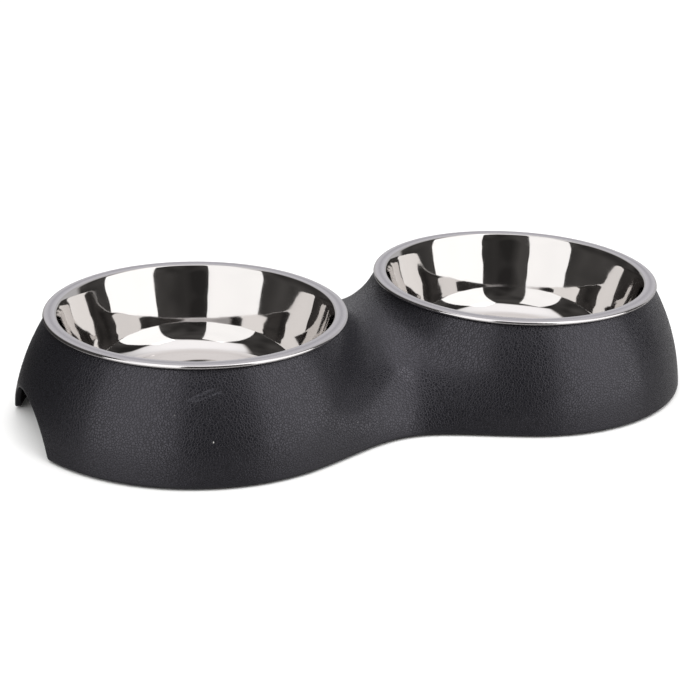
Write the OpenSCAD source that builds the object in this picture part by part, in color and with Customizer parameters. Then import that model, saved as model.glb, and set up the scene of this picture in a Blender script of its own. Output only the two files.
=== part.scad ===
// Double pet bowl: a moulded stand, open below, that carries two drop-in steel bowls.
// The length runs along X, the left bowl lies towards -X, the front faces -Y and Z is up.
// The origin is on the floor under the middle of the stand. All sizes are in millimetres.

/* [Stand] */
// Space between the rims of the two bowls
rim_space = 27.5; // [22:0.5:40]
// Height of the stand's top edge above its lower edge
stand_h = 51.8; // [48:0.1:56]
// How far the wall spreads outwards from the top edge to the lower edge
wall_spread = 17.95; // [14:0.05:22]
// Radius of the wall's bulge, seen from the side
bulge_r = 110; // [90:1:200]
// How far the waist is drawn in on each side, along the lower edge
waist_in = 24.95; // [18:0.05:32]
// Depth of the valley between the bowls below the stand's top edge
valley_drop = 7.5; // [6:0.1:10]
// Thickness of the moulded wall
wall_t = 3; // [2:0.1:4]
// Thickness of the flange round each bowl's hole
flange_t = 3; // [2:0.1:5]

/* [Finger notches] */
// Width of the arched notch at each end, along the lower edge
notch_w = 66; // [50:1:76]
// Height of the notch above the lower edge
notch_h = 21.4; // [16:0.1:25]
// Radius of the rounded corners where the notch meets the lower edge
notch_round = 2.5; // [1:0.1:5]

/* [Steel bowls] */
// Diameter over a bowl's rolled rim
rim_d = 150; // [144:0.5:156]
// Depth of a bowl from the top of its rim to its floor
bowl_depth = 41.5; // [36:0.5:46]
// Width of the lip, from the bowl's mouth to the outside of the rim
lip_w = 5.8; // [5:0.1:8]
// Tilt of a bowl's wall from the upright, where it leaves the lip's bend
mouth_tilt = 26; // [22:1:40]
// Tilt of the wall just below the shoulder under the bend
neck_tilt = 16.2; // [13:0.1:18]
// Tilt of the wall halfway down
middle_tilt = 20; // [19:0.1:23]
// Tilt of the wall at its lower end
low_tilt = 15.4; // [13:0.1:18]
// Tilt of the heel, where it passes into the corner
heel_tilt = 25; // [20:1:35]
// Radius inside the bend between the wall and the lip
bend_r = 1; // [0.7:0.1:2]
// Radius of the rolled edge
bead_r = 1; // [0.8:0.05:1.3]
// Thickness of the steel sheet
sheet_t = 0.6; // [0.4:0.05:0.7]

/* [Rubber feet] */
// How far the feet stand below the stand's lower edge
foot_proud = 1; // [0.6:0.1:2]
// Diameter of a foot's head
foot_d = 10; // [8:0.5:11]
// Diameter of a foot's stem
stem_d = 5; // [3.5:0.5:6]
// Length of a foot's stem
stem_l = 4; // [2:0.5:4]
// Depth of the recess that holds a foot's head
recess_h = 1.2; // [0.6:0.1:1.6]
// Angle of the end feet, measured at a bowl's middle from the long axis
foot_angle = 52; // [40:1:70]

/* [Fits] */
// Gap between a bowl and the collar that it sits on
seat_gap = 0.3; // [0.2:0.05:0.5]
// Gap between the rolled edge and the outside of the collar
bead_gap = 0.6; // [0.4:0.1:0.9]
// How far the rim hangs out over the stand's top edge
rim_overhang = 1.8; // [1.4:0.1:2.2]
// Height of the shadow gap between the rolled edge and the stand's top edge
shadow_gap = 0.5; // [0.3:0.1:1]
// Gap round a foot in its boss
foot_gap = 0.2; // [0.1:0.05:0.3]

/* [Hidden] */

pitch = rim_d + rim_space;
half_pitch = pitch / 2;
rim_r = rim_d / 2;
edge_z = foot_proud;
top_z = edge_z + stand_h;
rim_z = top_z + shadow_gap + 2 * bead_r;
overrun = 1;
boss_wall = 2;
boss_roof = 2;
edge_round = 0.4;

// How far down the shoulder, the wall's upper part, its lower part and the heel end, as shares of the
// bowl's depth
neck_share = 0.11;
middle_share = 0.391;
low_share = 0.686;
heel_share = 0.795;

// Columns of the stand's skin over the waist and over the rest of a quarter, and rows up the wall
waist_columns = 10;
end_columns = 26;
columns = waist_columns + end_columns;
rows = 10;
halvings = 26;
arc_steps = 8;
wall_steps = 4;

// Points along an arc about a middle, from one angle to another: an arc that goes on from the last
// one leaves out its first point
function arc(middle, r, from, to, steps = arc_steps, first = 0) =
    [for (i = [first : steps]) middle + r * [cos(from + (to - from) * i / steps), sin(from + (to - from) * i / steps)]];

// The wall seen from the side is one arc from the lower edge to the top edge
top_r = rim_r - rim_overhang;
edge_r = top_r + wall_spread;
waist_half_w = edge_r - waist_in;
chord = norm([wall_spread, stand_h]);
chord_drop = sqrt(pow(bulge_r, 2) - pow(chord / 2, 2));
bulge_mid_r = (edge_r + top_r) / 2 - chord_drop * stand_h / chord;
bulge_mid_h = stand_h / 2 - chord_drop * wall_spread / chord;

// Radius of a round end at height h, for the skin that lies t inside the outer one
function wall_radius(h, t) = bulge_mid_r + sqrt(pow(bulge_r - t, 2) - pow(h - bulge_mid_h, 2));

// The two round ends melt into each other over this width: it is set by the waist at the lower edge,
// by the valley in the middle, and at the top edge it lets both rings become true circles
valley_h = stand_h - valley_drop;
function blend_low(t) = 4 * (norm([half_pitch, waist_half_w - t]) - wall_radius(0, t));
function blend_valley(t) = 4 * (half_pitch - wall_radius(valley_h - t, t));
function blend_top(t) = 2 * (half_pitch - wall_radius(stand_h, t));
function blend_power(t) =
    ln((blend_low(t) - blend_valley(t)) / (blend_low(t) - blend_top(t))) / ln((valley_h - t) / stand_h);
outer_skin = [0, blend_low(0), blend_top(0), blend_power(0), top_r];
inner_skin = [wall_t, blend_low(wall_t), blend_top(wall_t), blend_power(wall_t), wall_radius(stand_h, wall_t)];
skins = [outer_skin, inner_skin];
function blend(h, skin) = skin[1] + (skin[2] - skin[1]) * pow(h / stand_h, skin[3]);

// The smaller of two distances, with a smooth dip where they are nearly equal
function melted(a, b, width) = min(a, b) - width * pow(max(1 - abs(a - b) / width, 0), 2) / 4;

// How far a point lies outside a skin, with its radius and angle taken at the left bowl's middle
function outside(r, angle, h, skin) =
    melted(r, norm([pitch - r * cos(angle), r * sin(angle)]), blend(h, skin)) - wall_radius(h, skin[0]);

// Half the width of the waist at height h, and the height of the waist where it is that far out
function waist_half(h, skin) = sqrt(pow(wall_radius(h, skin[0]) + blend(h, skin) / 4, 2) - pow(half_pitch, 2));
function waist_height(reach, skin, low = 0, high = stand_h, n = halvings) =
    let(h = (low + high) / 2)
    n == 0 ? h
    : wall_radius(h, skin[0]) + blend(h, skin) / 4 > reach ? waist_height(reach, skin, h, high, n - 1)
    : waist_height(reach, skin, low, h, n - 1);

// Distance along a line that rises from a hub under the top edge to the skin, found by halving
function skin_hit(angle, rise, skin, low, high, n = halvings) =
    let(s = (low + high) / 2)
    n == 0 ? s
    : outside(skin[4] + s * cos(rise), angle, s * sin(rise), skin) < 0 ? skin_hit(angle, rise, skin, s, high, n - 1)
    : skin_hit(angle, rise, skin, low, s, n - 1);

// One column of points, from the lower edge or the valley's middle plane up to the top edge
function skin_column(angle, skin, over_waist) =
    let(
        hub = skin[4],
        reach = half_pitch / cos(angle),
        start = over_waist ? atan2(waist_height(reach, skin), reach - hub) : 0)
    [for (j = [0 : rows])
        let(
            rise = start + (90 - start) * j / rows,
            far = over_waist && j < rows ? (reach - hub) / cos(rise) : edge_r,
            s = over_waist && j == 0 ? far : skin_hit(angle, rise, skin, 0, min(far, 2 * edge_r)),
            r = hub + s * cos(rise))
        [over_waist && j == 0 ? 0 : r * cos(angle) - half_pitch, r * sin(angle), edge_z + s * sin(rise)]];

// A quarter of a skin: the back half of the left end, with the waist's columns first
function skin_quarter(skin) =
    let(waist_angle = atan2(waist_half(0, skin), half_pitch))
    [for (i = [0 : columns])
        i < waist_columns ? skin_column(waist_angle * i / waist_columns, skin, true)
        : skin_column(waist_angle + (180 - waist_angle) * (i - waist_columns) / end_columns, skin, false)];

// Place of a point in the full list: points on the two middle planes are shared by both sides
column_points = (columns + 1) * (rows + 1);
function at(k, sx, sy, i, j) =
    let(
        x_side = j == 0 && i <= waist_columns ? 0 : sx,
        y_side = i == 0 || i == columns ? 0 : sy)
    ((k * 2 + x_side) * 2 + y_side) * column_points + i * (rows + 1) + j;
function turned(face, over) = over ? [face[2], face[1], face[0]] : face;

// Size and place of the bosses, whose outer side at the top lies in the middle of the wall
boss_d = foot_d + 2 * foot_gap + 2 * boss_wall;
boss_h = recess_h + stem_l + foot_gap + boss_roof;
end_boss_r = wall_radius(boss_h, 0) - wall_t / 2 - boss_d / 2;
waist_boss_y = waist_half(boss_h, outer_skin) - wall_t / 2 - boss_d / 2;
end_foot_x = half_pitch + end_boss_r * cos(foot_angle);
end_foot_y = end_boss_r * sin(foot_angle);
foot_places = [
    [-end_foot_x, -end_foot_y], [-end_foot_x, end_foot_y], [0, -waist_boss_y],
    [0, waist_boss_y], [end_foot_x, -end_foot_y], [end_foot_x, end_foot_y]];

// Direction from the inside of a bowl's wall towards its middle, where the wall has this tilt
function inward(tilt) = [-cos(tilt), sin(tilt)];

// The inside of a bowl goes down in arcs that touch each other: the lip's bend, a shoulder, a wall that
// is slightly hollow above and swells slightly below, a heel, and a corner that ends at the floor
mouth_r = rim_r - lip_w;
floor_z = rim_z - bowl_depth;
neck_z = rim_z - bowl_depth * neck_share;
middle_z = rim_z - bowl_depth * middle_share;
low_z = rim_z - bowl_depth * low_share;
heel_z = rim_z - bowl_depth * heel_share;
bead_mid = [rim_r - bead_r, rim_z - bead_r];
bend_mid = [mouth_r, rim_z - sheet_t - bend_r];
bend_end = bend_mid + (bend_r + sheet_t) * inward(mouth_tilt);
shoulder_r = (bend_end[1] - neck_z) / (sin(mouth_tilt) - sin(neck_tilt));
shoulder_mid = bend_end - shoulder_r * inward(mouth_tilt);
neck = shoulder_mid + shoulder_r * inward(neck_tilt);
hollow_r = (neck_z - middle_z) / (sin(middle_tilt) - sin(neck_tilt));
hollow_mid = neck + hollow_r * inward(neck_tilt);
wall_middle = hollow_mid - hollow_r * inward(middle_tilt);
swell_r = (middle_z - low_z) / (sin(middle_tilt) - sin(low_tilt));
swell_mid = wall_middle - swell_r * inward(middle_tilt);
wall_end = swell_mid + swell_r * inward(low_tilt);
heel_r = (low_z - heel_z) / (sin(heel_tilt) - sin(low_tilt));
heel_mid = wall_end + heel_r * inward(low_tilt);
heel_end = heel_mid - heel_r * inward(heel_tilt);
corner_r = (heel_z - floor_z) / (1 - sin(heel_tilt));
corner_mid = heel_end + corner_r * inward(heel_tilt);
curl_end = -200;

// One side of the sheet from the floor up to the lip: the inside, or the side that lies t behind it
function wall_line(t) = concat(
    arc(corner_mid, corner_r + t, -90, -heel_tilt),
    arc(heel_mid, heel_r + t, -heel_tilt, -low_tilt, wall_steps, 1),
    arc(swell_mid, swell_r - t, 180 - low_tilt, 180 - middle_tilt, wall_steps, 1),
    arc(hollow_mid, hollow_r + t, -middle_tilt, -neck_tilt, wall_steps, 1),
    arc(shoulder_mid, shoulder_r - t, 180 - neck_tilt, 180 - mouth_tilt, wall_steps, 1),
    arc(bend_mid, bend_r + sheet_t - t, 180 - mouth_tilt, 90, arc_steps, 1));
function backwards(line) = [for (i = [len(line) - 1 : -1 : 0]) line[i]];

// The collar follows the underside of the lip and the bend, one gap away
collar_r = rim_r - 2 * bead_r - bead_gap;
collar_z = rim_z - sheet_t - seat_gap;

module stand_shell() {
    quarters = [for (skin = skins) skin_quarter(skin)];
    points = [for (k = [0, 1], sx = [0, 1], sy = [0, 1], i = [0 : columns], j = [0 : rows])
        let(p = quarters[k][i][j])
        [sx == 0 ? p[0] : -p[0], sy == 0 ? p[1] : -p[1], p[2]]];
    skin_faces = [for (k = [0, 1], sx = [0, 1], sy = [0, 1], i = [0 : columns - 1], j = [0 : rows - 1], half = [0, 1])
        turned(
            half == 0 ? [at(k, sx, sy, i, j), at(k, sx, sy, i + 1, j), at(k, sx, sy, i + 1, j + 1)]
            : [at(k, sx, sy, i, j), at(k, sx, sy, i + 1, j + 1), at(k, sx, sy, i, j + 1)],
            (k + sx + sy) % 2 == 0)];
    top_faces = [for (sx = [0, 1], sy = [0, 1], i = [0 : columns - 1], half = [0, 1])
        turned(
            half == 0 ? [at(0, sx, sy, i, rows), at(0, sx, sy, i + 1, rows), at(1, sx, sy, i + 1, rows)]
            : [at(0, sx, sy, i, rows), at(1, sx, sy, i + 1, rows), at(1, sx, sy, i, rows)],
            (sx + sy) % 2 == 0)];
    edge_faces = [for (sx = [0, 1], sy = [0, 1], i = [waist_columns : columns - 1], half = [0, 1])
        turned(
            half == 0 ? [at(0, sx, sy, i, 0), at(0, sx, sy, i + 1, 0), at(1, sx, sy, i + 1, 0)]
            : [at(0, sx, sy, i, 0), at(1, sx, sy, i + 1, 0), at(1, sx, sy, i, 0)],
            (sx + sy) % 2 == 1)];
    polyhedron(points, concat(skin_faces, top_faces, edge_faces));
}

// Flange and collar round a bowl's hole
module seat_ring() {
    rotate_extrude($fn = 96)
        polygon(concat(
            [[collar_r, top_z - flange_t], [mouth_r - bend_r + seat_gap, top_z - flange_t]],
            arc(bend_mid, bend_r - seat_gap, 180, 90),
            arc([collar_r - edge_round, collar_z - edge_round], edge_round, 90, 0)));
}

module stand() {
    color("#202022")
        difference() {
            union() {
                stand_shell();
                for (side = [-1, 1])
                    translate([side * half_pitch, 0, 0])
                        seat_ring();
                for (place = foot_places)
                    translate([place[0], place[1], edge_z])
                        cylinder(d = boss_d, h = boss_h, $fn = 48);
            }
            for (side = [0, 180])
                rotate([0, 0, side])
                    notch_cut();
            for (place = foot_places)
                translate([place[0], place[1], edge_z])
                    foot_hole();
        }
}

// The notch is the part of a long cylinder that reaches above the lower edge, and on each side a
// round corner of the wall touches both the cylinder and the edge
notch_r = (pow(notch_h, 2) + pow(notch_w / 2, 2)) / (2 * notch_h);
notch_mid_h = notch_h - notch_r;
notch_corner_y = sqrt(pow(notch_r + notch_round, 2) - pow(notch_round - notch_mid_h, 2));
touch_share = notch_r / (notch_r + notch_round);
touch_y = notch_corner_y * touch_share;
touch_h = notch_mid_h + (notch_round - notch_mid_h) * touch_share;
module notch_cut() {
    translate([half_pitch, 0, edge_z]) {
        translate([0, 0, notch_mid_h])
            rotate([0, 90, 0])
                cylinder(r = notch_r, h = edge_r + overrun, $fn = 96);
        for (side = [0, 1])
            mirror([0, side, 0])
                difference() {
                    translate([0, touch_y - overrun, -overrun])
                        cube([edge_r + overrun, notch_corner_y - touch_y + overrun, touch_h + overrun]);
                    translate([-overrun, notch_corner_y, notch_round])
                        rotate([0, 90, 0])
                            cylinder(r = notch_round, h = edge_r + 3 * overrun, $fn = 48);
                }
    }
}

module foot_hole() {
    translate([0, 0, -overrun])
        cylinder(d = foot_d + 2 * foot_gap, h = recess_h + overrun, $fn = 48);
    cylinder(d = stem_d + 2 * foot_gap, h = recess_h + stem_l + foot_gap, $fn = 48);
}

module bowl(side) {
    color("silver")
        translate([side * half_pitch, 0, 0])
            rotate_extrude($fn = 96)
                polygon(concat(
                    [[0, floor_z]],
                    wall_line(0),
                    arc(bead_mid, bead_r, 90, curl_end, 2 * arc_steps),
                    arc(bead_mid, bead_r - sheet_t, curl_end, 90, 2 * arc_steps),
                    backwards(wall_line(sheet_t)),
                    [[0, floor_z - sheet_t]]));
}

// A foot is a turned shape: a head with a rounded lower edge, and a stem with a tapered tip
foot_round = 0.6;
stem_taper = 0.5;
module foot(place) {
    head_top = edge_z + recess_h;
    color("dimgray")
        translate([place[0], place[1], 0])
            rotate_extrude($fn = 48)
                polygon(concat(
                    [[0, 0]],
                    arc([foot_d / 2 - foot_round, foot_round], foot_round, -90, 0, arc_steps / 2),
                    [[foot_d / 2, head_top], [stem_d / 2, head_top],
                        [stem_d / 2, head_top + stem_l - stem_taper],
                        [stem_d / 2 - stem_taper, head_top + stem_l], [0, head_top + stem_l]]));
}

module bowl_left() { bowl(-1); }
module bowl_right() { bowl(1); }
module foot_left_front() { foot(foot_places[0]); }
module foot_left_back() { foot(foot_places[1]); }
module foot_middle_front() { foot(foot_places[2]); }
module foot_middle_back() { foot(foot_places[3]); }
module foot_right_front() { foot(foot_places[4]); }
module foot_right_back() { foot(foot_places[5]); }

stand();
bowl_left();
bowl_right();
foot_left_front();
foot_left_back();
foot_middle_front();
foot_middle_back();
foot_right_front();
foot_right_back();
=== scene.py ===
import math

import bpy
import numpy as np
from mathutils import Matrix, Vector


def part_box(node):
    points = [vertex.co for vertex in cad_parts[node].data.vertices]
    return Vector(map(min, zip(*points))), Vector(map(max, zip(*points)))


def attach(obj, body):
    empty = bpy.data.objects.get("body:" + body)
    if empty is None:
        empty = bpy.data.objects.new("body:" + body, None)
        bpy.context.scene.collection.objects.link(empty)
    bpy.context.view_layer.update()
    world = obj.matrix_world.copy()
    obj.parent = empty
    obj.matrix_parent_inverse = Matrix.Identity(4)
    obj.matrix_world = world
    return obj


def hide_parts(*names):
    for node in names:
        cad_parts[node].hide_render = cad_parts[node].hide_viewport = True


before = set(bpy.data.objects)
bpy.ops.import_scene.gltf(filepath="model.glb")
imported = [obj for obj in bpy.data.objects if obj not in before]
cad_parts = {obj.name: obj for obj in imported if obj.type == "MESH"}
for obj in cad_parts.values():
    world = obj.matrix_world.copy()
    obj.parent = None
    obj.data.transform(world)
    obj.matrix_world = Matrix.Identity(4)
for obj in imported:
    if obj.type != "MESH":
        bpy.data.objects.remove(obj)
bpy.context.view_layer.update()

mm = 0.001
tiny = 1e-6  # keeps a division away from zero


# colours and shader nodes

def linearColour(hexText):
    # the sRGB curve is undone for red, green and blue, and alpha is 1
    share = [int(hexText[i:i + 2], 16) / 255 for i in (1, 3, 5)]
    return tuple(c / 12.92 if c <= 0.04045 else ((c + 0.055) / 1.055) ** 2.4 for c in share) + (1.0,)


def addNode(tree, kind, inputs=None, **settings):
    # inputs go by name or place, and each is a value or a socket to link from
    node = tree.nodes.new(kind)
    for name, value in settings.items():
        setattr(node, name, value)
    for name, value in (inputs or {}).items():
        if isinstance(value, bpy.types.NodeSocket):
            tree.links.new(value, node.inputs[name])
        else:
            node.inputs[name].default_value = value
    return node


# settings that many nodes share: a soft step from 0 to 1, a mix of colours, a mix of numbers
softStep = dict(interpolation_type="SMOOTHSTEP")
ofColours = dict(data_type="RGBA")
ofNumbers = dict(data_type="FLOAT")


def strokeShare(tree, place, start, end, width, core=0.3):
    # 1 on a line between two points in millimetres, and 0 at the width from it
    a, b = Vector(start) * mm, Vector(end) * mm
    along = (b - a) / (b - a).length_squared
    away = addNode(tree, "ShaderNodeVectorMath", {0: place, 1: a}, operation="SUBTRACT").outputs[0]
    t = addNode(tree, "ShaderNodeVectorMath", {0: away, 1: along}, operation="DOT_PRODUCT").outputs["Value"]
    t = addNode(tree, "ShaderNodeClamp", {"Value": t}).outputs[0]
    near = addNode(tree, "ShaderNodeVectorMath", {0: b - a, "Scale": t}, operation="SCALE").outputs[0]
    gap = addNode(tree, "ShaderNodeVectorMath", {0: away, 1: near}, operation="DISTANCE").outputs["Value"]
    return addNode(tree, "ShaderNodeMapRange", {"Value": gap, "From Min": width * mm,
                                                "From Max": width * mm * core}, **softStep).outputs[0]


def newMaterial(name):
    # a material with one principled shader
    material = bpy.data.materials.new(name)
    material.use_nodes = True
    tree = material.node_tree
    tree.nodes.clear()
    shader = addNode(tree, "ShaderNodeBsdfPrincipled")
    addNode(tree, "ShaderNodeOutputMaterial", {"Surface": shader.outputs[0]})
    return material, tree, shader


# meshes from grids

def gridFaces(columns, rows, first=0):
    # two triangles for each cell of a grid of points stored column by column
    i, j = np.meshgrid(np.arange(columns - 1), np.arange(rows - 1), indexing="ij")
    a = (first + i * rows + j).ravel()
    b, c, d = a + rows, a + rows + 1, a + 1
    return np.concatenate([np.stack([a, b, c], 1), np.stack([a, c, d], 1)])


def welded(points, faces, shares, step=1e-4):
    # points closer than a step are one point, and faces that lose a corner go
    _, first, place = np.unique(np.round(points / step).astype(np.int64), axis=0,
                                return_index=True, return_inverse=True)
    faces = place.ravel()[faces]
    whole = (faces[:, 0] != faces[:, 1]) & (faces[:, 1] != faces[:, 2]) & (faces[:, 2] != faces[:, 0])
    return points[first], faces[whole], {name: values[first] for name, values in shares.items()}


def outward(points, faces):
    # the volume under the faces is positive when they point outwards
    a, b, c = points[faces].transpose(1, 0, 2)
    volume = np.einsum("ij,ij->i", a, np.cross(b, c)).sum()
    return faces if volume > 0 else faces[:, ::-1]


def meshObject(name, points, faces, material, shares=None):
    # points in millimetres, in the frame of the CAD part
    mesh = bpy.data.meshes.new(name)
    mesh.vertices.add(len(points))
    mesh.vertices.foreach_set("co", (points * mm).astype(np.float32).ravel())
    mesh.loops.add(faces.size)
    mesh.loops.foreach_set("vertex_index", faces.astype(np.int32).ravel())
    mesh.polygons.add(len(faces))
    mesh.polygons.foreach_set("loop_start", np.arange(0, faces.size, 3, dtype=np.int32))
    mesh.update(calc_edges=True)
    mesh.validate()
    mesh.polygons.foreach_set("use_smooth", np.ones(len(mesh.polygons), bool))
    for label, values in (shares or {}).items():
        mesh.attributes.new(label, "FLOAT", "POINT").data.foreach_set("value", values.astype(np.float32))
    mesh.materials.append(material)
    piece = bpy.data.objects.new(name, mesh)
    bpy.context.scene.collection.objects.link(piece)
    return piece


def arc(middle, radius, start, end, steps):
    # points on a circle about a middle, from one angle in degrees to another
    angle = np.radians(np.linspace(start, end, steps + 1))
    return np.stack([middle[0] + radius * np.cos(angle), middle[1] + radius * np.sin(angle)], 1)


def lineBetween(a, b, steps):
    # evenly spaced points between two points, without those two
    t = np.linspace(0, 1, steps + 1)[1:-1, None]
    return a + (b - a) * t


def turnedShape(profile, middle, around, shares=None):
    # a closed profile of radius and height is carried round an upright axis
    angle = np.append(np.linspace(0, 2 * np.pi, around, endpoint=False), 0)
    r, z = profile.T
    points = np.stack([middle[0] + np.outer(np.cos(angle), r), middle[1] + np.outer(np.sin(angle), r),
                       np.outer(np.ones(len(angle)), z)], -1).reshape(-1, 3)
    shares = {name: np.tile(values, len(angle)) for name, values in (shares or {}).items()}
    points, faces, shares = welded(points, gridFaces(len(angle), len(profile)), shares)
    return points, outward(points - [middle[0], middle[1], 0], faces), shares


# the stand: two round ends that melt into each other, as an outer and an inner skin
# halfPitch is half the distance between the bowls, and all heights but edgeZ and collarZ start at edgeZ

stand = dict(
    halfPitch=88.75, edgeZ=1.0, height=51.8, topR=73.2, edgeR=91.15, bulgeR=110.0,
    waistIn=24.95, valleyDrop=7.5, wall=3.0, flange=3.0,
    notchW=66.0, notchH=21.4, notchCorner=2.5,
    collarR=72.4, collarZ=54.4, holeR=68.5, coveRound=0.25, collarRound=0.4, seatRound=1.2, holeRound=0.4,
    outerRound=1.0, innerRound=0.6, topRound=0.5, topWeight=0.88,
    filletDown=1.0, filletIn=0.6, filletWeight=0.8, shelf=1.0, wornWidth=1.2,
    waistColumns=34, plainColumns=92, cornerColumns=8, archColumns=26, skinRows=52, innerRows=22,
    reach=120.0, searchIn=8.0, waistSteps=600)

# the wall's bulge is one arc through the lower and the upper edge
chord = math.hypot(stand["edgeR"] - stand["topR"], stand["height"])
chordDrop = math.sqrt(stand["bulgeR"] ** 2 - chord ** 2 / 4)
bulgeMidR = (stand["edgeR"] + stand["topR"]) / 2 - chordDrop * stand["height"] / chord
bulgeMidH = stand["height"] / 2 - chordDrop * (stand["edgeR"] - stand["topR"]) / chord
waistHalf = stand["edgeR"] - stand["waistIn"]
valleyH = stand["height"] - stand["valleyDrop"]


def wallRadius(h, depth):
    # one arc from the lower edge to the top edge, moved in by the depth of the skin
    return bulgeMidR + np.sqrt((stand["bulgeR"] - depth) ** 2 - (h - bulgeMidH) ** 2)


def skinOf(depth):
    # how wide the two round ends melt into each other, at the lower edge and at the top edge
    low = 4 * (math.hypot(stand["halfPitch"], waistHalf - depth) - wallRadius(0, depth))
    valley = 4 * (stand["halfPitch"] - wallRadius(valleyH - depth, depth))
    top = 2 * (stand["halfPitch"] - wallRadius(stand["height"], depth))
    power = math.log((low - valley) / (low - top)) / math.log((valleyH - depth) / stand["height"])
    return dict(depth=depth, low=low, top=top, power=power, hub=wallRadius(stand["height"], depth))


def blendWidth(h, skin):
    # the melting width goes from the lower one to the upper one by a power of the height
    return skin["low"] + (skin["top"] - skin["low"]) * np.maximum(h / stand["height"], 0) ** skin["power"]


def outside(x, y, h, skin):
    # distance outside the skin: the smaller distance to the two middles, with a smooth dip between them
    a = np.hypot(x, y)
    b = np.hypot(2 * stand["halfPitch"] - x, y)
    width = blendWidth(h, skin)
    dip = width * np.maximum(1 - np.abs(a - b) / width, 0) ** 2 / 4
    return np.minimum(a, b) - dip - wallRadius(h, skin["depth"])


def halved(isInside, low, high, steps=42):
    # the place where a line leaves the skin, found for all lines at once
    low, high = np.broadcast_arrays(np.asarray(low, float), np.asarray(high, float))
    for _ in range(steps):
        middle = (low + high) / 2
        inner = isInside(middle)
        low, high = np.where(inner, middle, low), np.where(inner, high, middle)
    return (low + high) / 2


def waistHeight(y, skin):
    # height of the skin over the middle plane at distance y from the long axis
    reach = np.hypot(stand["halfPitch"], y)
    return halved(lambda h: wallRadius(h, skin["depth"]) + blendWidth(h, skin) / 4 > reach,
                  0, stand["height"] + 0 * y)


def planeRadius(angle):
    # how far a level ray from the bowl's middle goes to the middle plane, or the reach where it misses it
    return np.where(angle < np.pi / 2, stand["halfPitch"] / np.maximum(np.cos(angle), tiny), stand["reach"])


def skinPoints(angle, rise, skin):
    # rays leave a hub under the top edge, and rise from level to upright
    def isInside(s):
        r = skin["hub"] + s * np.cos(rise)
        return outside(r * np.cos(angle), r * np.sin(angle), s * np.sin(rise), skin) < 0

    meetsPlane = (angle < np.pi / 2) & (rise < np.pi / 2 - tiny)
    toPlane = (planeRadius(angle) - skin["hub"]) / np.maximum(np.cos(rise), tiny)
    s = halved(isInside, 0, np.minimum(np.where(meetsPlane, toPlane, stand["reach"]), stand["reach"]))
    r = skin["hub"] + s * np.cos(rise)
    return np.stack([r * np.cos(angle), r * np.sin(angle), s * np.sin(rise)], -1)


def raysTo(points, skin):
    # angle and rise of the ray that meets a point
    r = np.hypot(points[..., 0], points[..., 1])
    return np.arctan2(points[..., 1], points[..., 0]), np.arctan2(points[..., 2], r - skin["hub"])


def skinNormals(points, skin, step=0.01):
    # slope of the distance in three directions
    x, y, h = points.T
    slope = np.stack([outside(x + step, y, h, skin) - outside(x - step, y, h, skin),
                      outside(x, y + step, h, skin) - outside(x, y - step, h, skin),
                      outside(x, y, h + step, skin) - outside(x, y, h - step, skin)], 1)
    return slope / np.linalg.norm(slope, axis=1, keepdims=True)


# the notch is an arch with rounded lower corners: both are arcs that touch
archR = (stand["notchH"] ** 2 + (stand["notchW"] / 2) ** 2) / (2 * stand["notchH"])
archMid = stand["notchH"] - archR
cornerY = math.sqrt((archR + stand["notchCorner"]) ** 2 - (stand["notchCorner"] - archMid) ** 2)
cornerTurn = math.degrees(math.atan2(cornerY, stand["notchCorner"] - archMid))


def lowerEdge(skin):
    # the edge runs level from the waist to the notch, then round its corner and up the arch
    def isInside(r):
        return outside(r * np.cos(angle), r * np.sin(angle), 0 * r, skin) < 0

    startY = waistHalf - skin["depth"]
    startAngle = math.atan2(startY, stand["halfPitch"])
    endAngle = math.pi - math.asin(cornerY / wallRadius(0, skin["depth"]))
    angle = np.linspace(startAngle, endAngle, stand["plainColumns"] + 1)
    r = halved(isInside, 0 * angle, planeRadius(angle))
    level = np.stack([r * np.cos(angle), r * np.sin(angle), 0 * angle], 1)
    corner = arc((cornerY, stand["notchCorner"]), stand["notchCorner"], -90, -90 - cornerTurn,
                 stand["cornerColumns"])[1:]
    arch = arc((0, archMid), archR, 90 - cornerTurn, 90, stand["archColumns"])[1:]
    y, h = np.concatenate([corner, arch]).T
    x = -halved(lambda s: outside(-s, y, h, skin) < 0, 0 * y, stand["reach"] + 0 * y)
    edge = np.concatenate([level, np.stack([x, y, h], 1)])
    edge[0] = [stand["halfPitch"], startY, 0]
    edge[-1, 1] = 0
    return edge


def skinStart(edge, skin, lift):
    # a line in the skin, one lift above its lower edge and square to it
    along = np.gradient(edge, axis=0)
    along[0], along[-1] = [-1, 0, 0], [0, -1, 0]
    up = np.cross(skinNormals(edge, skin), along)
    up /= np.linalg.norm(up, axis=1, keepdims=True)
    up *= np.where(up[:, 2:] < 0, -1, 1)
    start = edge + lift * up
    start[0, 0], start[-1, 1] = stand["halfPitch"], 0
    return start


def waistLine(endY, skin):
    # points on the middle plane from the valley down to the waist, evenly spaced along the curve
    y = np.linspace(0, endY, stand["waistSteps"])
    h = waistHeight(y, skin)
    length = np.concatenate([[0], np.cumsum(np.hypot(np.diff(y), np.diff(h)))])
    y = np.interp(np.linspace(0, length[-1], stand["waistColumns"] + 1), length, y)[:-1]
    return np.stack([stand["halfPitch"] + 0 * y, y, waistHeight(y, skin)], 1)


def skinGrid(starts, endH, rows, skin):
    # each column starts at a point of the lower line and ends level with the others at a height
    angle, rise = raysTo(starts, skin)
    endR = halved(lambda r: outside(r * np.cos(angle), r * np.sin(angle), endH + 0 * r, skin) < 0,
                  skin["hub"] - stand["searchIn"] + 0 * angle, planeRadius(angle))
    endRise = np.arctan2(endH, endR - skin["hub"])
    t = np.linspace(0, 1, rows + 1)
    risen = rise[:, None] + (endRise - rise)[:, None] * t
    points = skinPoints(angle[:, None] + 0 * risen, risen, skin)
    points[:, 0] = starts
    return points, angle


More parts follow.
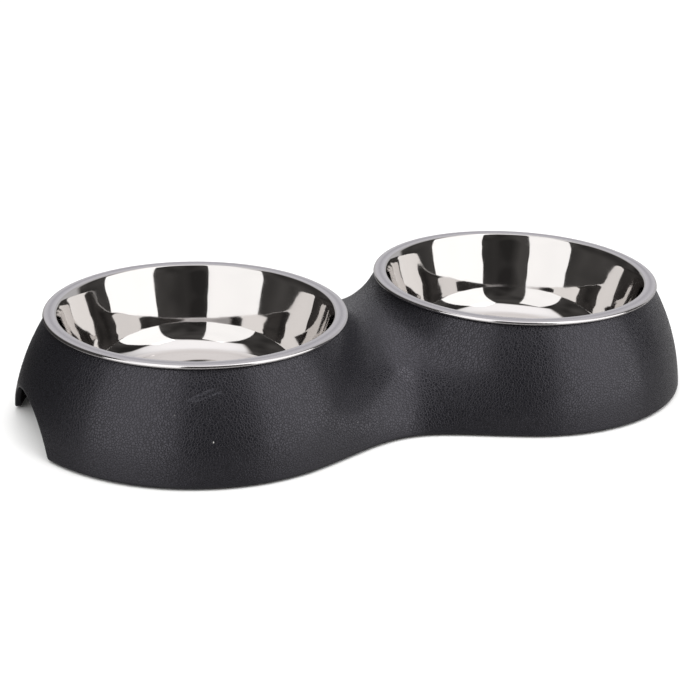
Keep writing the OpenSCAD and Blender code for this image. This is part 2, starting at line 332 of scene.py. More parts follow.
def bent(start, corner, end, steps, weight=math.sqrt(0.5)):
    # an arc that leaves start towards the corner and reaches end from it
    t = np.linspace(0, 1, steps + 1)[None, :, None]
    a, b, c = (1 - t) ** 2, 2 * weight * t * (1 - t), t ** 2
    return (a * start[:, None] + b * corner[:, None] + c * end[:, None]) / (a + b + c)


def ringPoints(angle, profile):
    # a profile of radius and height round the bowl's middle, at each column's angle
    r, h = profile.T
    return np.stack([np.outer(np.cos(angle), r), np.outer(np.sin(angle), r),
                     np.outer(np.ones(len(angle)), h)], -1)


def seatProfile():
    # four arcs: from the top edge up the collar, over the seat and down through the hole
    top, collarTop = stand["height"], stand["collarZ"] - stand["edgeZ"]
    cove, collar, seat, hole = (stand[name + "Round"] for name in ("cove", "collar", "seat", "hole"))
    return np.concatenate([
        arc((stand["collarR"] + cove, top + cove), cove, -90, -180, steps=3),
        arc((stand["collarR"] - collar, collarTop - collar), collar, 0, 90, steps=4),
        arc((stand["holeR"] + seat, collarTop - seat), seat, 90, 180, steps=5),
        arc((stand["holeR"] + hole, top - stand["flange"] + hole), hole, 180, 270, steps=3)])


def standQuarter():
    # one grid goes up the outer skin, over the seat and down the inner skin, and one closes the lower edge
    outer, inner = skinOf(0.0), skinOf(stand["wall"])
    outerEdge, innerEdge = lowerEdge(outer), lowerEdge(inner)
    # past the corner both edges keep the same width and height, because one straight cut makes them
    outerStart = skinStart(outerEdge, outer, stand["outerRound"])
    innerStart = skinStart(innerEdge, inner, stand["innerRound"])
    outerStarts = np.concatenate([waistLine(outerStart[0, 1], outer), outerStart])
    innerStarts = np.concatenate([waistLine(innerStart[0, 1], inner), innerStart])

    top, topR = stand["height"], stand["topR"]
    outerSkin, angle = skinGrid(outerStarts, top - stand["topRound"], stand["skinRows"], outer)
    rims = ringPoints(angle, np.array([[topR, top], [topR - stand["topRound"], top]]))
    topEdge = bent(outerSkin[:, -1], rims[:, 0], rims[:, 1], steps=4, weight=stand["topWeight"])[:, 1:]
    seat = ringPoints(angle, seatProfile())
    under = top - stand["flange"]
    innerSkin, innerAngle = skinGrid(innerStarts, under - stand["filletDown"], stand["innerRows"], inner)
    last = innerSkin[:, -1]
    filletR = np.hypot(last[:, 0], last[:, 1]) - stand["filletIn"]
    shelf, corner = (np.stack([r * np.cos(innerAngle), r * np.sin(innerAngle), 0 * r + under], 1)
                     for r in (filletR - stand["shelf"], filletR))
    fillet = bent(shelf, corner, last, steps=4, weight=stand["filletWeight"])
    skin = np.concatenate([outerSkin, topEdge, seat, fillet, innerSkin[:, -2::-1]], axis=1)

    # the lower edge: outer round, flat, inner round
    across = innerEdge - outerEdge
    across /= np.linalg.norm(across, axis=1, keepdims=True)
    edge = np.concatenate([
        bent(outerStart, outerEdge, outerEdge + stand["outerRound"] * across, steps=6),
        bent(innerEdge - stand["innerRound"] * across, innerEdge, innerStart, steps=4)], axis=1)
    # the share of worn edge is 1 at the lower edge and fades up the outer skin
    skinShare = np.zeros(skin.shape[:2])
    nearEdge = np.exp(-np.linalg.norm(outerSkin - outerSkin[:, :1], axis=2) / stand["wornWidth"])
    nearEdge[:stand["waistColumns"]] = 0
    skinShare[:, :outerSkin.shape[1]] = nearEdge
    return skin, skinShare, edge, np.ones(edge.shape[:2])


def standMesh():
    # the quarter is mirrored to four, which are welded along the two middle planes
    skin, skinShare, edge, edgeShare = standQuarter()
    points = np.concatenate([skin.reshape(-1, 3), edge.reshape(-1, 3)])
    share = np.concatenate([skinShare.ravel(), edgeShare.ravel()])
    skinFaces = gridFaces(*skin.shape[:2])
    edgeFaces = gridFaces(*edge.shape[:2], first=skin.shape[0] * skin.shape[1])[:, ::-1]
    faces = np.concatenate([skinFaces, edgeFaces])
    points = points - [stand["halfPitch"], 0, 0] + [0, 0, stand["edgeZ"]]
    allPoints, allFaces = [], []
    for k, (sx, sy) in enumerate([(1, 1), (-1, 1), (1, -1), (-1, -1)]):
        allPoints.append(points * [sx, sy, 1])
        allFaces.append((faces if sx * sy > 0 else faces[:, ::-1]) + k * len(points))
    shares = {"edgeShare": np.tile(share, 4)}
    points, faces, shares = welded(np.concatenate(allPoints), np.concatenate(allFaces), shares)
    return points, outward(points, faces), shares


# the bosses under the stand: each one takes a foot's head and stem with a gap

boss = dict(wall=2.0, gap=0.2, headD=10.0, stemD=5.0, recess=1.2, stem=4.0, roof=2.0, lift=0.08,
            innerRound=0.25, outerRound=0.4, around=48)


def footNodes():
    # the CAD nodes of the feet
    return [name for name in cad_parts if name.startswith("foot_")]


def nodeMiddle(name):
    # the middle of a CAD node's box, seen from above, in millimetres
    low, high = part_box(name)
    return [(low[0] + high[0]) / 2 / mm, (low[1] + high[1]) / 2 / mm]


def bossMeshes():
    # a round boss with a recess for the head and a bore for the stem
    recessR = boss["headD"] / 2 + boss["gap"]
    outerR = recessR + boss["wall"]
    boreR = boss["stemD"] / 2 + boss["gap"]
    low = stand["edgeZ"] + boss["lift"]
    stepZ = stand["edgeZ"] + boss["recess"]
    deep = stepZ + boss["stem"] + boss["gap"]
    top = deep + boss["roof"]
    inner, outer = boss["innerRound"], boss["outerRound"]
    profile = np.concatenate([
        [[0, top], [0, deep], [boreR, deep], [boreR, stepZ], [recessR, stepZ]],
        arc((recessR + inner, low + inner), inner, 180, 270, steps=3),
        arc((outerR - outer, low + outer), outer, -90, 0, steps=4),
        [[outerR, top], [0, top]]])
    return [turnedShape(profile, nodeMiddle(name), boss["around"]) for name in footNodes()]


# materials: lengths are in millimetres, and roughness goes from the smoother to the rougher places

melamineLook = dict(
    cell=1.3, groove=0.19, warpAcross=1.6, warpBy=0.9, fineAcross=0.5, fineShare=0.22, relief=0.054,
    cloudAcross=30.0, cloudSpread=(0.3, 0.7), brokenSpread=(0.35, 0.75),
    # the groove colour is painted shade: the grain's grooves are painted darker than the cell tops
    grooveColour="#050506", topColour="#1c1c20", wornColour="#1c1c20", scuffColour="#404045",
    speckColour="#c4c2be", glossTint="#f7f3ff", ior=1.65,
    topRough=(0.18, 0.24), grooveRough=0.47, wornRough=0.22, scuffRough=0.2,
    # each scuff has its two ends and its width, and each speck has its share too
    scuffs=[((-117.5, -74.9, 40.5), (-106.4, -76.0, 44.8), 1.0),
            ((-115.9, -75.9, 39.7), (-103.1, -77.4, 43.4), 0.8)],
    specks=[((-108.9, -84.8, 22.4), (-108.9, -84.9, 22.7), 0.45, 1.0),
            ((-124.2, -75.2, 34.0), (-124.2, -75.2, 34.3), 0.4, 0.2),
            ((-31.5, -71.1, 15.3), (-31.5, -71.2, 15.6), 0.4, 0.2)])


def melamineMoulded():
    # pressed melamine resin: a hard black plastic, satin, with a fine leather grain from the mould
    look = melamineLook
    material, tree, shader = newMaterial("melamineMouldedBlack")
    place = addNode(tree, "ShaderNodeTexCoord").outputs["Object"]
    # the grain is made of cells with grooves between them, and a noise bends the grooves
    warp = addNode(tree, "ShaderNodeTexNoise", {
        "Vector": place, "Scale": 1 / (look["warpAcross"] * mm), "Detail": 2.0}).outputs["Color"]
    warp = addNode(tree, "ShaderNodeVectorMath", {0: warp, 1: (0.5, 0.5, 0.5)},
                   operation="SUBTRACT").outputs[0]
    warp = addNode(tree, "ShaderNodeVectorMath", {0: warp, "Scale": look["warpBy"] * mm},
                   operation="SCALE").outputs[0]
    moved = addNode(tree, "ShaderNodeVectorMath", {0: place, 1: warp}, operation="ADD").outputs[0]
    border = addNode(tree, "ShaderNodeTexVoronoi", {"Vector": moved, "Scale": 1 / (look["cell"] * mm)},
                     feature="DISTANCE_TO_EDGE").outputs["Distance"]
    cellTop = addNode(tree, "ShaderNodeMapRange", {
        "Value": border, "From Min": 0.0, "From Max": look["groove"]}, **softStep).outputs[0]
    fine = addNode(tree, "ShaderNodeTexNoise", {
        "Vector": place, "Scale": 1 / (look["fineAcross"] * mm), "Detail": 3.0,
        "Roughness": 0.6}).outputs["Fac"]
    grain = addNode(tree, "ShaderNodeMath", {0: fine, 1: look["fineShare"], 2: cellTop},
                    operation="MULTIPLY_ADD").outputs[0]
    edge = addNode(tree, "ShaderNodeAttribute", attribute_name="edgeShare").outputs["Fac"]
    # a faint double scuff on the front, broken up by the grain, and three pale specks
    scuff = 0.0
    for start, end, width in look["scuffs"]:
        stroke = strokeShare(tree, place, start, end, width)
        scuff = addNode(tree, "ShaderNodeMath", {0: stroke, 1: scuff}, operation="MAXIMUM").outputs[0]
    low, high = look["brokenSpread"]
    broken = addNode(tree, "ShaderNodeMapRange", {"Value": fine, "From Min": low, "From Max": high},
                     **softStep).outputs[0]
    scuff = addNode(tree, "ShaderNodeMath", {0: scuff, 1: broken}, operation="MULTIPLY").outputs[0]
    speck = 0.0
    for start, end, width, share in look["specks"]:
        stroke = strokeShare(tree, place, start, end, width)
        speck = addNode(tree, "ShaderNodeMath", {0: stroke, 1: share, 2: speck},
                        operation="MULTIPLY_ADD").outputs[0]
    # painted shade: the grain's grooves get the darker colour and the cell tops the lighter one, with a
    # little random tone from the fine noise
    colour = linearColour(look["grooveColour"])
    for share, name in [(grain, "topColour"), (edge, "wornColour"),
                        (scuff, "scuffColour"), (speck, "speckColour")]:
        colour = addNode(tree, "ShaderNodeMix", {"Factor": share, 6: colour, 7: linearColour(look[name])},
                         **ofColours).outputs[2]
    tree.links.new(colour, shader.inputs["Base Color"])
    # the cells' tops are smoother here and there, the grooves rougher, and the worn edge is even
    cloud = addNode(tree, "ShaderNodeTexNoise", {
        "Vector": place, "Scale": 1 / (look["cloudAcross"] * mm), "Detail": 3.0}).outputs["Fac"]
    low, high = look["cloudSpread"]
    rough = addNode(tree, "ShaderNodeMapRange", {
        "Value": cloud, "From Min": low, "From Max": high,
        "To Min": look["topRough"][0], "To Max": look["topRough"][1]}).outputs[0]
    rough = addNode(tree, "ShaderNodeMix", {"Factor": cellTop, 2: look["grooveRough"], 3: rough},
                    **ofNumbers).outputs[0]
    rough = addNode(tree, "ShaderNodeMix", {"Factor": edge, 2: rough, 3: look["wornRough"]},
                    **ofNumbers).outputs[0]
    rough = addNode(tree, "ShaderNodeMath", {0: scuff, 1: look["scuffRough"], 2: rough},
                    operation="MULTIPLY_ADD").outputs[0]
    tree.links.new(rough, shader.inputs["Roughness"])
    shader.inputs["IOR"].default_value = look["ior"]
    shader.inputs["Specular Tint"].default_value = linearColour(look["glossTint"])
    # the relief fades out at the worn edge
    unworn = addNode(tree, "ShaderNodeMath", {0: 1.0, 1: edge}, operation="SUBTRACT").outputs[0]
    relief = addNode(tree, "ShaderNodeMath", {0: grain, 1: unworn}, operation="MULTIPLY").outputs[0]
    bump = addNode(tree, "ShaderNodeBump", {
        "Height": relief, "Distance": look["relief"] * mm, "Strength": 1.0})
    tree.links.new(bump.outputs[0], shader.inputs["Normal"])
    return material


steelLook = dict(
    # the band colour is painted shade along the middle of the lip
    lineAcross=0.3, lineColours=("#e2dfe3", "#eeebef"), bandColour="#cfccd1", insideColour="#d8d5d3",
    mirrorRough=(0.03, 0.075), brushedRough=(0.18, 0.3), hazeAcross=12.0, hazeSpread=(0.35, 0.75),
    waveAcross=14.0, waveHeight=0.12)


def steelPressed():
    # pressed stainless steel: mirror polished inside, brushed round on the lip, with slight press waves
    look = steelLook
    material, tree, shader = newMaterial("stainlessSteelPressed")
    place = addNode(tree, "ShaderNodeTexCoord").outputs["Object"]
    satin, band, radius = (addNode(tree, "ShaderNodeAttribute", attribute_name=name).outputs["Fac"]
                           for name in ("satinShare", "bandShare", "turnRadius"))
    # brushed lines run round the lip and the outside, drawn coarser than the real ones so that they show
    line = addNode(tree, "ShaderNodeTexNoise", {
        "W": radius, "Scale": 1 / (look["lineAcross"] * mm), "Detail": 2.0},
        noise_dimensions="1D").outputs["Fac"]
    low, high = (linearColour(colour) for colour in look["lineColours"])
    brushed = addNode(tree, "ShaderNodeMix", {"Factor": line, 6: low, 7: high}, **ofColours).outputs[2]
    # painted shade: a darker band along the lip's middle
    banded = addNode(tree, "ShaderNodeMix", {"Factor": band, 6: brushed, 7: linearColour(look["bandColour"])},
                     **ofColours).outputs[2]
    inside = linearColour(look["insideColour"])
    colour = addNode(tree, "ShaderNodeMix", {"Factor": satin, 6: inside, 7: banded}, **ofColours).outputs[2]
    tree.links.new(colour, shader.inputs["Base Color"])
    shader.inputs["Metallic"].default_value = 1.0
    haze = addNode(tree, "ShaderNodeTexNoise", {
        "Vector": place, "Scale": 1 / (look["hazeAcross"] * mm), "Detail": 4.0}).outputs["Fac"]
    low, high = look["hazeSpread"]
    mirror = addNode(tree, "ShaderNodeMapRange", {
        "Value": haze, "From Min": low, "From Max": high,
        "To Min": look["mirrorRough"][0], "To Max": look["mirrorRough"][1]}).outputs[0]
    low, high = look["brushedRough"]
    brushing = addNode(tree, "ShaderNodeMapRange", {"Value": line, "To Min": low, "To Max": high}).outputs[0]
    rough = addNode(tree, "ShaderNodeMix", {"Factor": satin, 2: mirror, 3: brushing}, **ofNumbers).outputs[0]
    tree.links.new(rough, shader.inputs["Roughness"])
    wave = addNode(tree, "ShaderNodeTexNoise", {
        "Vector": place, "Scale": 1 / (look["waveAcross"] * mm), "Detail": 1.0}).outputs["Fac"]
    bump = addNode(tree, "ShaderNodeBump", {
        "Height": wave, "Distance": look["waveHeight"] * mm, "Strength": 1.0})
    tree.links.new(bump.outputs[0], shader.inputs["Normal"])
    return material


rubberLook = dict(poreAcross=0.6, poreHeight=0.04, poreColours=("#1a1a1a", "#2b2b2a"), rough=0.78)


def rubberMoulded():
    # soft moulded rubber: matt, slightly uneven, with pores that are drawn coarser than the real ones
    look = rubberLook
    material, tree, shader = newMaterial("rubberMouldedBlack")
    place = addNode(tree, "ShaderNodeTexCoord").outputs["Object"]
    pore = addNode(tree, "ShaderNodeTexNoise", {
        "Vector": place, "Scale": 1 / (look["poreAcross"] * mm), "Detail": 4.0}).outputs["Fac"]
    low, high = (linearColour(colour) for colour in look["poreColours"])
    colour = addNode(tree, "ShaderNodeMix", {"Factor": pore, 6: low, 7: high}, **ofColours).outputs[2]
    tree.links.new(colour, shader.inputs["Base Color"])
    shader.inputs["Roughness"].default_value = look["rough"]
    bump = addNode(tree, "ShaderNodeBump", {
        "Height": pore, "Distance": look["poreHeight"] * mm, "Strength": 1.0})
    tree.links.new(bump.outputs[0], shader.inputs["Normal"])
    return material


melamine = melamineMoulded()
steel = steelPressed()
rubber = rubberMoulded()
print("materials made")


def makeStand():
    # the shell and its bosses are one moulded piece
    points, faces, shares = standMesh()
    for bossPoints, bossFaces, _ in bossMeshes():
        faces = np.concatenate([faces, bossFaces + len(points)])
        points = np.concatenate([points, bossPoints])
        shares["edgeShare"] = np.append(shares["edgeShare"], np.zeros(len(bossPoints)))
    piece = meshObject("standShell", points, faces, melamine, shares)
    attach(piece, "base")
    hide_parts("stand")
    print("stand made:", len(faces), "triangles")


makeStand()


# the bowls: a sheet turned round an upright axis
# a tilt is how far the wall leans from upright, and its share says how far down the depth it is met

bowl = dict(rimR=75.0, rimZ=55.3, lip=5.9, bendR=0.3, beadR=1.0, sheet=0.6, curlEnd=-200.0, crownTilt=10.5,
            depth=41.5, mouthTilt=26.0, neckTilt=16.2, middleTilt=20.0, lowTilt=15.4, heelTilt=25.0,
            neckShare=0.11, middleShare=0.391, lowShare=0.686, heelShare=0.795,
            beadSatin=0.35, bandAt=0.52, bandWidth=0.2, bandMargin=0.01, around=320)


def inward(tilt):
    # the way into the bowl, square to a wall that leans by the tilt
    return np.array([-math.cos(math.radians(tilt)), math.sin(math.radians(tilt))])


def between(lowZ, highZ, lowTilt, highTilt):
    # radius of the arc that leans by one tilt at one height and by the other tilt at the other height
    return (highZ - lowZ) / abs(math.sin(math.radians(lowTilt)) - math.sin(math.radians(highTilt)))


def crownArc():
    # the lip is slightly crowned: an arc from the top of the bend to the top of the rolled edge
    tilt = math.radians(bowl["crownTilt"])
    width = bowl["lip"] - bowl["beadR"] + (bowl["bendR"] + bowl["sheet"] + bowl["beadR"]) * math.sin(tilt)
    radius = width / 2 / math.sin(tilt)
    return radius, bowl["rimZ"] - radius * (1 - math.cos(tilt))


def wallArcs():
    # from the mouth down, arcs that touch: middle, radius, side of the sheet's outside, start, end, steps
    names = ("neck", "middle", "low", "heel")
    mouth, crown = bowl["mouthTilt"], bowl["crownTilt"]
    neck, half, low, heel = (bowl[name + "Tilt"] for name in names)
    neckZ, halfZ, lowZ, heelZ = (bowl["rimZ"] - bowl["depth"] * bowl[name + "Share"] for name in names)
    floorZ = bowl["rimZ"] - bowl["depth"]
    bendR = bowl["bendR"] + bowl["sheet"]
    _, endZ = crownArc()
    bendMid = np.array([bowl["rimR"] - bowl["lip"], endZ - bendR * math.cos(math.radians(crown))])
    bendEnd = bendMid + bendR * inward(mouth)
    shoulderR = between(neckZ, bendEnd[1], neck, mouth)
    shoulderMid = bendEnd - shoulderR * inward(mouth)
    neckEnd = shoulderMid + shoulderR * inward(neck)
    hollowR = between(halfZ, neckZ, half, neck)
    hollowMid = neckEnd + hollowR * inward(neck)
    hollowEnd = hollowMid - hollowR * inward(half)
    swellR = between(lowZ, halfZ, low, half)
    swellMid = hollowEnd - swellR * inward(half)
    swellEnd = swellMid + swellR * inward(low)
    heelR = between(heelZ, lowZ, heel, low)
    heelMid = swellEnd + heelR * inward(low)
    heelEnd = heelMid - heelR * inward(heel)
    cornerR = (heelZ - floorZ) / (1 - math.sin(math.radians(heel)))
    cornerMid = heelEnd + cornerR * inward(heel)
    return [(cornerMid, cornerR, 1, -90, -heel, 16), (heelMid, heelR, 1, -heel, -low, 6),
            (swellMid, swellR, -1, 180 - low, 180 - half, 12), (hollowMid, hollowR, 1, -half, -neck, 12),
            (shoulderMid, shoulderR, -1, 180 - neck, 180 - mouth, 6),
            (bendMid, bendR, -1, 180 - mouth, 90 + crown, 12)]


def wallLine(depth):
    # the wall's line at a depth in the sheet, from the floor up to the lip
    lines = [arc(middle, radius + side * depth, start, end, steps)
             for middle, radius, side, start, end, steps in wallArcs()]
    return np.concatenate([lines[0]] + [line[1:] for line in lines[1:]])


def bowlProfile():
    # inside: floor, wall, lip and rolled edge, then back along the outside
    crownR, endZ = crownArc()
    tilt = bowl["crownTilt"]
    beadMid = (bowl["rimR"] - bowl["beadR"], endZ - bowl["beadR"] * math.cos(math.radians(tilt)))
    floor = np.array([[0, bowl["rimZ"] - bowl["depth"]]])
    below = floor - [0, bowl["sheet"]]
    inner, outer = wallLine(0), wallLine(bowl["sheet"])[::-1]
    bead = arc(beadMid, bowl["beadR"], 90 - tilt, bowl["curlEnd"], steps=28)
    back = arc(beadMid, bowl["beadR"] - bowl["sheet"], bowl["curlEnd"], 90 - tilt, steps=20)
    lipMid = ((inner[-1, 0] + bead[0, 0]) / 2, bowl["rimZ"] - crownR)
    lipLine = arc(lipMid, crownR, 90 + tilt, 90 - tilt, steps=16)[1:-1]
    # each stretch of the profile has its share of satin
    parts = [(floor, 0), (lineBetween(floor[0], inner[0], 10), 0), (inner, 0), (lipLine, 1),
             (bead, bowl["beadSatin"]), (back, 1), (lineBetween(back[-1], outer[0], 6), 1), (outer, 1),
             (lineBetween(outer[-1], below[0], 8), 1), (below, 1), (floor, 0)]
    profile = np.concatenate([part for part, _ in parts])
    satin = np.concatenate([np.full(len(part), float(share)) for part, share in parts])
    # the lip is painted darker along its middle: painted shade across the curved lip
    onLip = (profile[:, 0] - inner[-1, 0]) / (bead[0, 0] - inner[-1, 0])
    onTop = profile[:, 1] > endZ - bowl["bandMargin"]
    band = np.exp(-((onLip - bowl["bandAt"]) / bowl["bandWidth"]) ** 2) * onTop
    return profile, {"satinShare": satin, "bandShare": band, "turnRadius": profile[:, 0] * mm}


def makeBowl(name, node, body):
    # the profile is turned round the middle of the bowl's CAD node
    profile, shares = bowlProfile()
    points, faces, shares = turnedShape(profile, nodeMiddle(node), bowl["around"], shares)
    piece = meshObject(name, points, faces, steel, shares)
    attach(piece, body)
    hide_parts(node)
    print(name, "made:", len(faces), "triangles")


makeBowl("bowlLeft", "bowl_left", "left_bowl")
makeBowl("bowlRight", "bowl_right", "right_bowl")


# the feet: rubber plugs with a shallow ring in the sole

foot = dict(headR=5.0, round=0.6, headTop=2.2, topRound=0.2, stemR=2.5, stemTop=6.2, taper=0.5,
            soleZ=0.25, innerR=1.3, innerZ=0.3, innerRound=0.3,
            ringR=3.0, ringZ=-0.05, ringRound=0.4, around=48)


def makeFoot(node):
    # a closed profile from the sole's middle out to the head, up, and back along the stem
    headR, stemR, rounding, topRound = foot["headR"], foot["stemR"], foot["round"], foot["topRound"]
    profile = np.concatenate([
        [[0, foot["soleZ"]]],
        arc((foot["innerR"], foot["innerZ"]), foot["innerRound"], -135, -90, steps=3),
        arc((foot["ringR"], foot["ringZ"]), foot["ringRound"], 170, 10, steps=6),
        arc((headR - rounding, rounding), rounding, -90, 0, steps=6),
        arc((headR - topRound, foot["headTop"] - topRound), topRound, 0, 90, steps=3),
        [[stemR, foot["headTop"]], [stemR, foot["stemTop"] - foot["taper"]],
         [stemR - foot["taper"], foot["stemTop"]], [0, foot["stemTop"]], [0, foot["soleZ"]]]])
    profile[:, 1] = np.maximum(profile[:, 1], 0)
    points, faces, _ = turnedShape(profile, nodeMiddle(node), foot["around"])
    first, *others = node.split("_")
    piece = meshObject(first + "".join(word.capitalize() for word in others), points, faces, rubber)
    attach(piece, "base")
    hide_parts(node)


for node in footNodes():
    makeFoot(node)
print("feet made")


# the floor: pale seamless paper

paper = dict(half=6000.0, seenColour="#f1f1f0", mirroredColour="#888786", shadedColour="#363534",
             shadeAzimuth=-140.0, shadeFrom=120.0, shadeTo=220.0,
             mirroredRough=0.3, seenRough=0.9, mirroredGloss=0.6, seenGloss=0.2)


def towards(azimuth):
    # level direction of an azimuth in degrees, where 0 is the front
    turn = math.radians(azimuth)
    return math.sin(turn), -math.cos(turn), 0.0


def makeFloor():
    # the object mirrors the paper less brightly and glossier than the camera sees it
    material, tree, shader = newMaterial("paperMattWhite")
    seen = addNode(tree, "ShaderNodeLightPath").outputs["Is Camera Ray"]
    # it is mirrored darker in the panels' shade, behind the left end
    place = addNode(tree, "ShaderNodeTexCoord").outputs["Object"]
    behind = addNode(tree, "ShaderNodeVectorMath", {0: place, 1: towards(paper["shadeAzimuth"])},
                     operation="DOT_PRODUCT").outputs["Value"]
    shade = addNode(tree, "ShaderNodeMapRange", {
        "Value": behind, "From Min": paper["shadeFrom"] * mm, "From Max": paper["shadeTo"] * mm},
        **softStep).outputs[0]
    colour = linearColour(paper["mirroredColour"])
    for share, name in [(shade, "shadedColour"), (seen, "seenColour")]:
        colour = addNode(tree, "ShaderNodeMix", {"Factor": share, 6: colour, 7: linearColour(paper[name])},
                         **ofColours).outputs[2]
    tree.links.new(colour, shader.inputs["Base Color"])
    for socket, name in [("Roughness", "Rough"), ("Specular IOR Level", "Gloss")]:
        value = addNode(tree, "ShaderNodeMix", {"Factor": seen, 2: paper["mirrored" + name],
                                                3: paper["seen" + name]}, **ofNumbers).outputs[0]
        tree.links.new(value, shader.inputs[socket])
    half = paper["half"]
    points = np.array([[-half, -half, 0], [half, -half, 0], [half, half, 0], [-half, half, 0]])
    floor = meshObject("floorPaper", points, np.array([[0, 1, 2], [0, 2, 3]]), material)


# the light: two white panels in front, and a white sweep that stands behind and reaches over the object

studio = dict(
    panels=[((140.0, -589.0), (449.0, -199.0)), ((-525.0, -60.0), (-357.0, -480.0))],
    panelTop=1450.0, panelGlow=(1.45, 1.3), skyPower=2.6, skyAngle=120.0,
    sweepAzimuth=141.5, sweepHalf=44.5, sweepSoft=4.0, sweepOver=0.5, overSoft=0.05, sweepFront=0.3,
    frontSoft=0.06, levelSoft=0.02, brighterUp=(0.7, 0.98), sweepLow=0.57, sweepHigh=1.35,
    darkLow=0.025, darkHigh=0.075, patchScale=2.2, patchSpread=(0.35, 0.65),
    darkTint="#fffaf7", sweepTint="#fefdff", seenTint="#fffefd")


def addLight(data, place, turn, glossy):
    # a light that the camera doesn't see
    light = bpy.data.objects.new(data.name, data)
    light.matrix_world = Matrix.Translation(Vector(place) * mm) @ turn
    light.visible_camera = False
    light.visible_glossy = glossy
    bpy.context.scene.collection.objects.link(light)


def makePanels():
    # upright soft lights on two lines on the floor, and a very soft one from above that evens out the paper
    for number, (a, b) in enumerate(studio["panels"]):
        data = bpy.data.lights.new("panel%d" % (number + 1), "AREA")
        data.shape = "RECTANGLE"
        data.size, data.size_y = math.dist(a, b) * mm, studio["panelTop"] * mm
        # a light of a power shines with power / (pi * area)
        data.energy = studio["panelGlow"][number] * math.pi * data.size * data.size_y
        place = ((a[0] + b[0]) / 2, (a[1] + b[1]) / 2, studio["panelTop"] / 2)
        # the panel's back is square to its line and points away from the object
        back = Vector((b[1] - a[1], a[0] - b[0], 0)).normalized()
        back *= 1 if back.dot(Vector(place)) > 0 else -1
        addLight(data, place, back.to_track_quat("Z", "Y").to_matrix().to_4x4(), True)
    sky = bpy.data.lights.new("overhead", "SUN")
    sky.energy = studio["skyPower"]
    sky.angle = math.radians(studio["skyAngle"])
    addLight(sky, (0, 0, 0), Matrix.Identity(4), False)


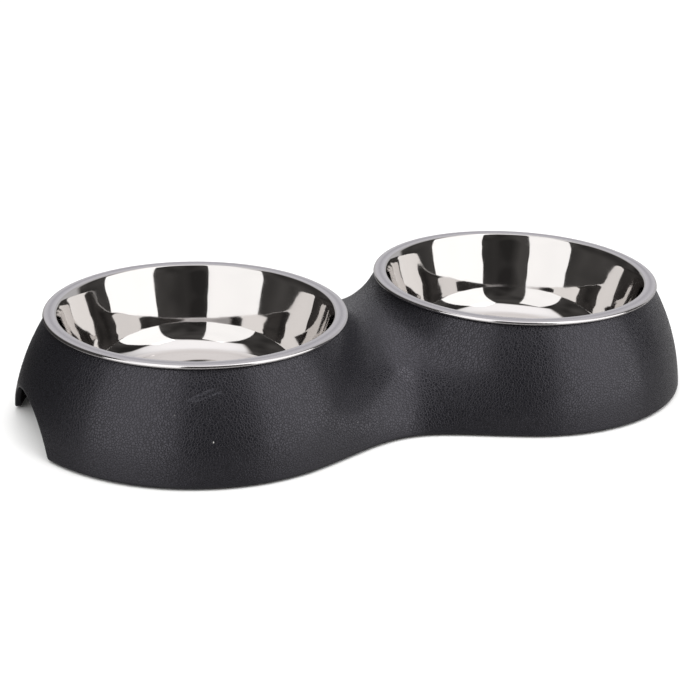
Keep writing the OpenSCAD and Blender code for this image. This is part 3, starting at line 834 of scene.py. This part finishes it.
def makeStudio():
    # the sweep is white from the floor up behind the object and over it, and the rest is dark
    world = bpy.data.worlds.new("studioSweep")
    world.use_nodes = True
    bpy.context.scene.world = world
    tree = world.node_tree
    tree.nodes.clear()
    way = addNode(tree, "ShaderNodeTexCoord").outputs["Generated"]
    back, side = (addNode(tree, "ShaderNodeVectorMath", {0: way, 1: towards(azimuth)},
                          operation="DOT_PRODUCT").outputs["Value"]
                  for azimuth in (studio["sweepAzimuth"], studio["sweepAzimuth"] + 90))
    side = addNode(tree, "ShaderNodeMath", {0: side}, operation="ABSOLUTE").outputs[0]
    up = addNode(tree, "ShaderNodeSeparateXYZ", {0: way}).outputs[2]
    # the angle from the sweep's middle, and where the ray meets a level ceiling
    angle = addNode(tree, "ShaderNodeMath", {0: side, 1: back}, operation="ARCTAN2").outputs[0]
    angle = addNode(tree, "ShaderNodeMath", {0: angle}, operation="DEGREES").outputs[0]
    ahead, beside = (addNode(tree, "ShaderNodeMath", {0: value, 1: up}, operation="DIVIDE").outputs[0]
                     for value in (back, side))
    half, front, over = (studio[name] for name in ("sweepHalf", "sweepFront", "sweepOver"))
    halfSoft, frontSoft, overSoft = (studio[name] for name in ("sweepSoft", "frontSoft", "overSoft"))
    steps = [(angle, half + halfSoft, half - halfSoft), (ahead, -front - frontSoft, -front + frontSoft),
             (beside, over + overSoft, over - overSoft), (up, 0.0, studio["levelSoft"]),
             (up, *studio["brighterUp"])]
    behind, inFront, sides, above, bright = (
        addNode(tree, "ShaderNodeMapRange", {"Value": value, "From Min": low, "From Max": high},
                **softStep).outputs[0] for value, low, high in steps)
    # overhead the sweep ends a little in front and on both sides
    over = addNode(tree, "ShaderNodeMath", {0: inFront, 1: sides}, operation="MULTIPLY").outputs[0]
    over = addNode(tree, "ShaderNodeMath", {0: over, 1: above}, operation="MULTIPLY").outputs[0]
    white = addNode(tree, "ShaderNodeMath", {0: behind, 1: over}, operation="MAXIMUM").outputs[0]
    # the sweep is brighter higher up, and the dark has lighter patches
    lit = addNode(tree, "ShaderNodeMix", {"Factor": bright, 2: studio["sweepLow"], 3: studio["sweepHigh"]},
                  **ofNumbers).outputs[0]
    patches = addNode(tree, "ShaderNodeTexNoise", {
        "Vector": way, "Scale": studio["patchScale"], "Detail": 1.0}).outputs["Fac"]
    low, high = studio["patchSpread"]
    dark = addNode(tree, "ShaderNodeMapRange", {
        "Value": patches, "From Min": low, "From Max": high,
        "To Min": studio["darkLow"], "To Max": studio["darkHigh"]}).outputs[0]
    glow = addNode(tree, "ShaderNodeMix", {"Factor": white, 2: dark, 3: lit}, **ofNumbers).outputs[0]
    # the camera sees plain white
    seen = addNode(tree, "ShaderNodeLightPath").outputs["Is Camera Ray"]
    strength = addNode(tree, "ShaderNodeMix", {"Factor": seen, 2: glow, 3: 1.0}, **ofNumbers).outputs[0]
    tint = linearColour(studio["darkTint"])
    for share, name in [(white, "sweepTint"), (seen, "seenTint")]:
        tint = addNode(tree, "ShaderNodeMix", {"Factor": share, 6: tint, 7: linearColour(studio[name])},
                       **ofColours).outputs[2]
    background = addNode(tree, "ShaderNodeBackground", {"Color": tint, "Strength": strength})
    addNode(tree, "ShaderNodeOutputWorld", {"Surface": background.outputs[0]})


# the camera: it looks at the target from a distance, and its focal length is in pixels of the width

view = dict(azimuth=-23.786, elevation=21.412, distance=961.484, target=(18.328, 53.595, 0.0),
            focal=1734.142, width=700.0, sensor=36.0, roll=1.845)


def makeCamera():
    # the camera stands back from the target at the azimuth and elevation, and is rolled about its own axis
    azimuth, elevation = math.radians(view["azimuth"]), math.radians(view["elevation"])
    back = Vector((math.sin(azimuth) * math.cos(elevation), -math.cos(azimuth) * math.cos(elevation),
                   math.sin(elevation)))
    data = bpy.data.cameras.new("camera")
    data.sensor_width = view["sensor"]
    data.lens = view["focal"] / view["width"] * view["sensor"]
    data.clip_start, data.clip_end = 0.01, 50.0
    camera = bpy.data.objects.new("camera", data)
    roll = Matrix.Rotation(math.radians(view["roll"]), 4, "Z")
    turn = back.to_track_quat("Z", "Y").to_matrix().to_4x4() @ roll
    camera.matrix_world = Matrix.Translation((Vector(view["target"]) + view["distance"] * back) * mm) @ turn
    bpy.context.scene.collection.objects.link(camera)
    bpy.context.scene.camera = camera


makeFloor()
makePanels()
makeStudio()
makeCamera()
bpy.context.scene.view_settings.view_transform = "Standard"
print("studio and camera made")
